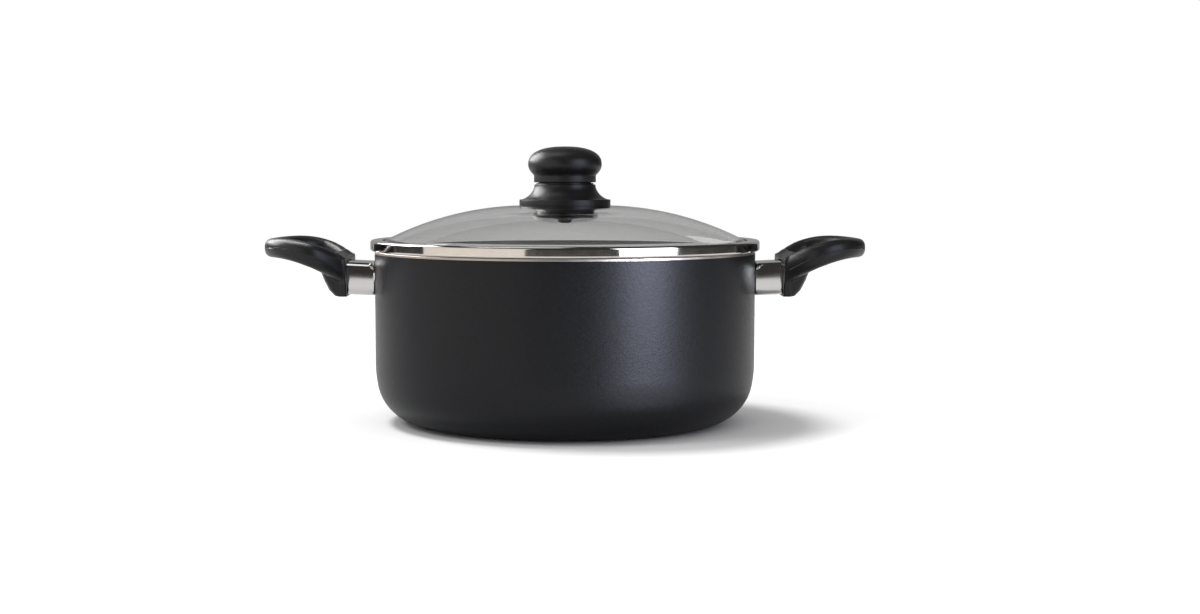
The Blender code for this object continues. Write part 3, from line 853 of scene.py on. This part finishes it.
def knob_cap():
    """Mushroom cap over a short collar."""
    radius, power = CAP_HIGH.x, 2.4
    crown, belly, undercut = 11.6, 12.6, -31.5
    recess, bore_top = CAP_LOW.z + 1.6, 168.0
    middle = CAP_HIGH.z - crown
    points = [(0.0, CAP_HIGH.z)]
    for step in range(1, 33):
        angle = math.radians(90.0 - 90.0 * step / 32)
        points.append((radius * max(math.cos(angle), 0.0) ** (2.0 / power),
                       middle + crown * max(math.sin(angle), 0.0) ** (2.0 / power)))
    points += arc((0.0, middle), radius, 0.0, undercut, 12, belly / radius)[1:]
    points += rounded([(20.2, points[-1][1] - 0.25, 0), (19.95, points[-1][1] - 0.8, 0.3),
                       (20.0, CAP_LOW.z, 0.45), (SPIGOT + 0.5, CAP_LOW.z, 0),
                       (SPIGOT + 0.5, recess, 0), (KNOB_BORE, recess, 0),
                       (KNOB_BORE, bore_top, 0), (0.0, bore_top, 0)], 5)
    mesh_data = bmesh.new()
    spin(mesh_data, [points], 160)
    piece("knob_top", mesh_data, [LOOKS["phenolic"]], "lid", ["knob_cap"])


def knob_base():
    """Flared skirt with a flange, a spigot inside the cap's groove and the seal's pocket."""
    shoulder, spigot_top = BASE_HIGH.z - 0.9, BASE_HIGH.z + 1.2
    flange, edge_top, neck, power = BASE_HIGH.x, 143.1, 19.7, 1.7
    pocket_in, pocket_out, pocket_top, screw_hole = 8.4, 20.6, 140.4, 3.2
    wide, tall = flange - 0.6 - neck, shoulder - 0.5 - edge_top
    points = rounded([(KNOB_BORE, spigot_top, 0), (SPIGOT, spigot_top, 0.2),
                      (SPIGOT, BASE_HIGH.z, 0.1), (18.4, BASE_HIGH.z, 0.2), (18.4, shoulder, 0.15),
                      (neck - 0.3, shoulder, 0.2), (neck, shoulder - 0.4, 0)], 4)
    for step in range(23):
        angle = math.radians(90.0 * step / 23)
        points.append((flange - 0.6 - wide * math.cos(angle) ** (2.0 / power),
                       shoulder - 0.5 - tall * math.sin(angle) ** (2.0 / power)))
    points += rounded([(flange - 1.2, edge_top + 0.02, 0), (flange, edge_top - 0.05, 0.3),
                       (flange, BASE_LOW.z, 0.3), (pocket_out, BASE_LOW.z, 0),
                       (pocket_out, pocket_top, 0), (pocket_in, pocket_top, 0),
                       (pocket_in, BASE_LOW.z, 0), (screw_hole, BASE_LOW.z, 0),
                       (screw_hole, BASE_HIGH.z, 0), (KNOB_BORE, BASE_HIGH.z, 0)], 5)
    mesh_data = bmesh.new()
    spin(mesh_data, [points], 160)
    piece("knob_skirt", mesh_data, [LOOKS["phenolic"]], "lid", ["knob_base"])


def ring_piece(name, cad, look, fillet, turns=96):
    """Flat ring that fills its CAD node's box, with rounded edges."""
    low, high = size_of(cad)
    inner = min(math.hypot(v.co.x, v.co.y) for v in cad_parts[cad].data.vertices) / MM
    outer = high.x
    middle = (low.z + high.z) / 2
    points = rounded([(inner, middle, 0), (inner, low.z, fillet), (outer, low.z, fillet),
                      (outer, high.z, fillet), (inner, high.z, fillet), (inner, middle, 0)], 4)
    mesh_data = bmesh.new()
    spin(mesh_data, [points[:-1]], turns)
    piece(name, mesh_data, [LOOKS[look]], "lid", [cad])


def dress(cad, look):
    """Give a CAD node that stays in view its finished material."""
    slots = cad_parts[cad].data.materials
    slots.clear()
    slots.append(LOOKS[look])


# ------------------------------------------------------------------ studio

def aim(obj, target):
    obj.rotation_mode = "QUATERNION"
    obj.rotation_quaternion = (Vector(target) - obj.location).to_track_quat("-Z", "Y")


def group_of(name, members):
    """Collection outside the scene that only tells a lamp which pieces it concerns."""
    group = bpy.data.collections.new(name)
    for each in members:
        group.objects.link(bpy.data.objects[each])
    return group


def softbox(name, azimuth, elevation, distance, width, height, radiance, colour=(1, 1, 1),
            only=None):
    """Rectangular lamp that shows as a soft reflection; azimuth 0 is the camera's side."""
    lamp = bpy.data.lights.new(name, "AREA")
    lamp.shape, lamp.size, lamp.size_y = "RECTANGLE", width, height
    lamp.energy = 4.0 * width * height * radiance
    lamp.color = colour
    made = bpy.data.objects.new(name, lamp)
    bpy.context.scene.collection.objects.link(made)
    a, e = math.radians(azimuth), math.radians(elevation)
    made.location = Vector((math.sin(a) * math.cos(e), -math.cos(a) * math.cos(e),
                            math.sin(e))) * distance + Vector((0.0, 0.0, 0.1))
    aim(made, (0.0, 0.0, 0.1))
    made.visible_camera = made.visible_diffuse = made.visible_transmission = False
    if only:
        made.light_linking.receiver_collection = group_of(name + "_receivers", only)
        made.light_linking.blocker_collection = group_of(name + "_blockers", only)


def sun(name, energy, blockers=None, place=(-0.72, 0.30, 2.0)):
    """Large soft lamp aimed at the pot's foot; with blockers, only they shade it."""
    lamp = bpy.data.lights.new(name, "SUN")
    lamp.energy, lamp.angle = energy, math.radians(17.0)
    made = bpy.data.objects.new(name, lamp)
    made.location = place
    aim(made, (0.0, 0.0, 0.0))
    made.visible_glossy = made.visible_transmission = False
    bpy.context.scene.collection.objects.link(made)
    if blockers:
        made.light_linking.blocker_collection = group_of(name + "_blockers", blockers)


def surroundings():
    """White backdrop for the camera, with a mid-grey room seen through the glass."""
    world = bpy.data.worlds.new("studio")
    bpy.context.scene.world = world
    world.use_nodes = True
    world.cycles.sampling_method = "NONE"
    tree = world.node_tree
    path = node(tree, "ShaderNodeLightPath")
    room = blend_colours(tree, path.outputs["Is Diffuse Ray"], grey(0.045, 0.042, 0.040),
                         grey(0.90, 0.90, 0.91))
    room = blend_colours(tree, path.outputs["Is Transmission Ray"], room,
                         grey(0.60, 0.60, 0.60))
    room = blend_colours(tree, path.outputs["Is Camera Ray"], room, grey(1.0, 1.0, 1.0))
    tree.links.new(room, tree.nodes["Background"].inputs["Color"])


def paper(tree, where):
    """White to the camera, and the mid-grey of a real table in reflections."""
    fibres = noise(tree, where, 2.0)
    seen = node(tree, "ShaderNodeLightPath").outputs["Is Camera Ray"]
    return {"Base Color": blend_colours(tree, seen, grey(0.48, 0.48, 0.48),
                                        grey(0.69, 0.69, 0.69)),
            "Roughness": spread(tree, fibres, 0.85, 0.95)}


# pieces that need a lamp of their own strength
KNOB = ["knob_top", "knob_skirt"]
GRIPS = ["grip_left", "grip_right"]
LID = ["lid_dome", "lid_band"]


def all_but(*names):
    """Names of the visible pieces without the given ones."""
    return [each.name for each in bpy.data.objects
            if each.type == "MESH" and not each.hide_render and each.name not in names]


# azimuth and elevation in degrees, then distance, width and height in metres
RIGHT = (47.0, 14.0, 1.4, 0.9, 1.0)
LEFT_BACK = (-121.0, 29.0, 1.6, 1.35, 1.05)
FLOOR_RADIUS = 1.95
FLOOR_DROP = 0.0002             # keeps the floor and the pot's base off one plane


def studio():
    """Two suns, softboxes for the reflections, the room and the floor."""
    sun("key", 2.3, ["pot_vessel", "lid_band", "lid_dome"] + KNOB)
    sun("fill", 0.8, place=(-1.2, -0.5, 1.4))
    white, cool, blue, warm = (1, 1, 1), (0.86, 0.93, 1.0), (0.73, 0.78, 1.0), (1.0, 0.92, 0.84)
    softbox("right", *RIGHT, 3.6, cool, all_but("pot_vessel", *KNOB, *GRIPS))
    softbox("right_soft", *RIGHT, 2.3, blue, KNOB + GRIPS)
    softbox("right_body", 46.5, 0.0, 1.4, 0.60, 1.1, 16.0, blue, ["pot_vessel"])
    softbox("streak", 157.0, 23.0, 2.0, 0.22, 0.7, 0.7, white, ["lid_dome"])
    softbox("left", -54.0, 12.0, 1.5, 1.95, 1.0, 0.7, warm)
    softbox("left_back", *LEFT_BACK, 7.5, white, all_but(*GRIPS, *LID))
    softbox("left_back_lid", *LEFT_BACK, 3.0, white, LID)
    softbox("left_back_near", *LEFT_BACK, 6.5, white, ["grip_left"])
    softbox("left_back_far", *LEFT_BACK, 3.2, white, ["grip_right"])
    softbox("top", -100.0, 75.0, 1.6, 0.9, 0.9, 1.0, white, all_but("grip_left"))
    softbox("top_near", -100.0, 70.0, 1.6, 1.2, 1.2, 9.0, white, ["grip_left"])
    softbox("back", 180.0, 14.0, 2.0, 3.0, 1.5, 0.22)

    surroundings()
    mesh_data = bmesh.new()
    bmesh.ops.create_circle(mesh_data, cap_ends=True, segments=96,
                             radius=FLOOR_RADIUS)
    look = finish_material("paper", paper, {"Specular IOR Level": 0.0})
    floor = to_object("floor", mesh_data, [look], 30.0)
    floor.location.z = -FLOOR_DROP


def camera():
    """Level with the pot's upper part, about 1.1 m away and tilted slightly down."""
    distance, height, tilt = 1.130, 0.1586, 4.31
    shot = bpy.data.cameras.new("camera")
    shot.sensor_width, shot.lens = 36.0, 52.4
    shot.shift_x = 0.0292
    made = bpy.data.objects.new("camera", shot)
    made.location = (0.0, -distance, height)
    made.rotation_euler = (math.radians(90.0 - tilt), 0.0, 0.0)
    bpy.context.scene.collection.objects.link(made)
    bpy.context.scene.camera = made
    bpy.context.scene.view_settings.view_transform = "Standard"


# ------------------------------------------------------------------ build

pot()
shape = handle_shape()
for word, side in SIDES:
    bolt_frame = along_x(side, BOLT_HEIGHT)
    flame_guard(word, side)
    handle(word, side, *shape)
    dress("weld_stud_" + word, "stud")
    head_face = WASHER_HIGH.x + GAP
    pan_head_screw("bolt_" + word, SHANK_RADIUS, HEAD_RADIUS, BOLT_HIGH.x - head_face,
                   head_face, BOLT_LOW.x, bolt_frame, "pot", ["handle_screw_" + word])
    spring_washer("lock_washer_" + word, SHANK_RADIUS + GAP, WASHER_HIGH.y, WASHER_LOW.x,
                  WASHER_HIGH.x, bolt_frame, "pot", ["handle_washer_" + word])

lid_glass()
lid_rim()
knob_cap()
knob_base()
dress("rim_gasket", "silicone")
dress("knob_insert", "brass")
ring_piece("seal_top", "knob_seal_upper", "silicone", 0.3)
ring_piece("seal_under", "knob_seal_lower", "rubber", 0.4)
ring_piece("plate_washer", "knob_washer", "zinc", 0.2, 48)
upright = (lambda across, up, height: (across, up, height))
low, high = size_of("knob_screw")
pan_head_screw("knob_bolt", SHANK_RADIUS, HEAD_RADIUS, KNOB_HEAD, low.z + KNOB_HEAD, high.z,
               upright, "lid", ["knob_screw"])

studio()
camera()
